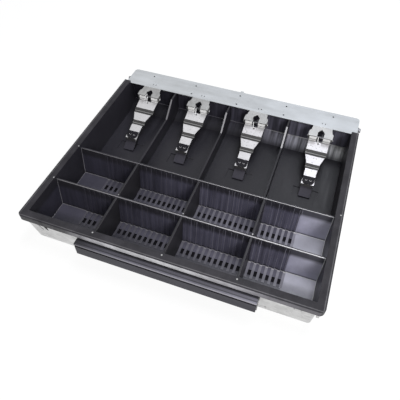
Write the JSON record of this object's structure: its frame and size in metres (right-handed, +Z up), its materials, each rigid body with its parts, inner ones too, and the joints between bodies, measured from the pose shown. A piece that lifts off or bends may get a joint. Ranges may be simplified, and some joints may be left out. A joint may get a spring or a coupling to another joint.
{
  "type": "cash register tray",
  "caption": "Moulded cash tray in a sheet steel drawer pan, with sprung note clips on a rear steel bar, lift-out coin dividers and a front pull handle.",
  "frame": {"origin": "centre of the object's outline seen from above, on the plane of the pan's underside", "axes": "+X to the right seen from the handle, +Y towards the clip bar at the back, +Z up"},
  "size_m": [0.375, 0.3424, 0.0545],
  "materials": {
    "tray_plastic": "satin moulded, near black",
    "divider_plastic": "satin moulded, near black",
    "handle_plastic": "smooth, half gloss",
    "foot_plastic": "smooth",
    "galvanised_steel": "galvanised sheet, dull with faint spangle",
    "plated_steel": "zinc plated, satin",
    "clip_steel": "bright nickel plated",
    "spring_wire": "bright drawn wire",
    "dark_steel": "dark plated"
  },
  "bodies": {
    "drawer": {"money_tray": "tray_plastic", "drawer_pan": "galvanised_steel", "runner_left": "galvanised_steel", "runner_right": "galvanised_steel", "handle_bracket": "galvanised_steel", "pull_handle": "handle_plastic", "handle_screw_left": "dark_steel", "handle_screw_right": "dark_steel", "clip_bar": "plated_steel", "bar_screw_left": "dark_steel", "bar_screw_right": "dark_steel", "clip_pin_1": "dark_steel", "clip_pin_2": "dark_steel", "clip_pin_3": "dark_steel", "clip_pin_4": "dark_steel"},
    "clip_1": {"clip_arm_1": "clip_steel", "clip_foot_1": "foot_plastic", "clip_spring_1": "spring_wire"},
    "clip_2": {"clip_arm_2": "clip_steel", "clip_foot_2": "foot_plastic", "clip_spring_2": "spring_wire"},
    "clip_3": {"clip_arm_3": "clip_steel", "clip_foot_3": "foot_plastic", "clip_spring_3": "spring_wire"},
    "clip_4": {"clip_arm_4": "clip_steel", "clip_foot_4": "foot_plastic", "clip_spring_4": "spring_wire"},
    "front_divider_1": {"front_coin_divider_1": "divider_plastic"},
    "front_divider_2": {"front_coin_divider_2": "divider_plastic"},
    "front_divider_3": {"front_coin_divider_3": "divider_plastic"},
    "rear_divider_1": {"rear_coin_divider_1": "divider_plastic"},
    "rear_divider_2": {"rear_coin_divider_2": "divider_plastic"},
    "rear_divider_3": {"rear_coin_divider_3": "divider_plastic"}
  },
  "joints": [
    {"name": "clip_1_hinge", "type": "hinge", "parent": "drawer", "child": "clip_1", "pos_m": [-0.137, 0.1152, 0.0419], "axis": [-1, 0, 0], "range_deg": [0, 75], "stiffness_Nm_per_rad": 0.12, "springref_deg": -45.84},
    {"name": "clip_2_hinge", "type": "hinge", "parent": "drawer", "child": "clip_2", "pos_m": [-0.0546, 0.1152, 0.0419], "axis": [-1, 0, 0], "range_deg": [0, 75], "stiffness_Nm_per_rad": 0.12, "springref_deg": -45.84},
    {"name": "clip_3_hinge", "type": "hinge", "parent": "drawer", "child": "clip_3", "pos_m": [0.0373, 0.1152, 0.0419], "axis": [-1, 0, 0], "range_deg": [0, 75], "stiffness_Nm_per_rad": 0.12, "springref_deg": -45.84},
    {"name": "clip_4_hinge", "type": "hinge", "parent": "drawer", "child": "clip_4", "pos_m": [0.1344, 0.1152, 0.0419], "axis": [-1, 0, 0], "range_deg": [0, 75], "stiffness_Nm_per_rad": 0.12, "springref_deg": -45.84},
    {"name": "front_divider_1_lift", "type": "slide", "parent": "drawer", "child": "front_divider_1", "axis": [0, 0, 1], "range_m": [0, 0.06]},
    {"name": "front_divider_2_lift", "type": "slide", "parent": "drawer", "child": "front_divider_2", "axis": [0, 0, 1], "range_m": [0, 0.06]},
    {"name": "front_divider_3_lift", "type": "slide", "parent": "drawer", "child": "front_divider_3", "axis": [0, 0, 1], "range_m": [0, 0.06]},
    {"name": "rear_divider_1_lift", "type": "slide", "parent": "drawer", "child": "rear_divider_1", "axis": [0, 0, 1], "range_m": [0, 0.06]},
    {"name": "rear_divider_2_lift", "type": "slide", "parent": "drawer", "child": "rear_divider_2", "axis": [0, 0, 1], "range_m": [0, 0.06]},
    {"name": "rear_divider_3_lift", "type": "slide", "parent": "drawer", "child": "rear_divider_3", "axis": [0, 0, 1], "range_m": [0, 0.06]}
  ]
}
